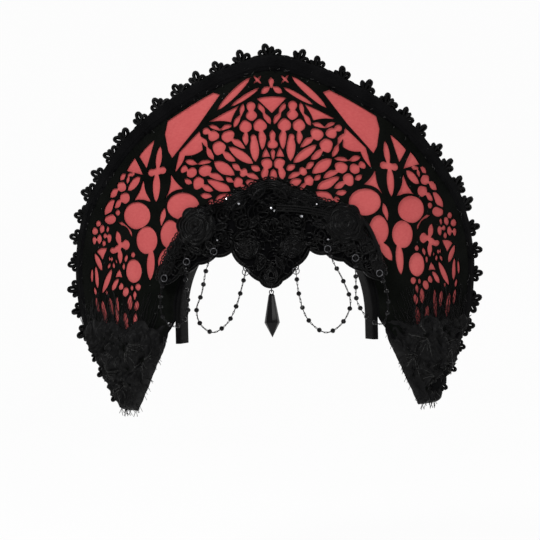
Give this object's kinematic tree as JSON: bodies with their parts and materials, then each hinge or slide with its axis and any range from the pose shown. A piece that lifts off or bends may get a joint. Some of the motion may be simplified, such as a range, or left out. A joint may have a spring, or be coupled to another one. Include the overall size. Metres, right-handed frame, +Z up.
{
  "type": "halo crown",
  "caption": "Tall crescent halo crown of red felt under black pierced gothic tracery, on a padded headband, with a lace front, hanging bead strings and a swinging drop.",
  "frame": {"origin": "head seat: the middle of the headband's underside, where the crown rests on top of the head", "axes": "+Z up from the head, -Y to the front where the tracery faces, +X to the right as seen from the front"},
  "size_m": [0.3518, 0.1267, 0.2993],
  "materials": {
    "felt": "matte coral-red wool felt",
    "overlay": "matte black cut felt with darkened edges",
    "ribbon": "matte black velvet ribbon",
    "lace": "black corded guipure lace",
    "band_cloth": "black satin over padding",
    "bead": "polished faceted black glass",
    "wire": "gunmetal-plated wire"
  },
  "bodies": {
    "crown": {"halo_panel": "felt", "tracery": "overlay", "rim_band": "ribbon", "picot_trim": "lace", "headband": "band_cloth", "lace_band": "lace", "lace_rose_1": "lace", "lace_rose_2": "lace", "lace_rose_3": "lace", "lace_rose_4": "lace", "gather_left": "lace", "gather_right": "lace", "bead_string_1": "bead", "bead_string_2": "bead", "bead_string_3": "bead", "bead_string_4": "bead", "drop_ring": "wire"},
    "drop": {"drop": "bead"}
  },
  "joints": [
    {"name": "drop_swing", "type": "hinge", "parent": "crown", "child": "drop", "pos_m": [-0.00373, -0.01264, -0.06272], "axis": [0, 1, 0], "range_deg": [-30, 30]}
  ]
}
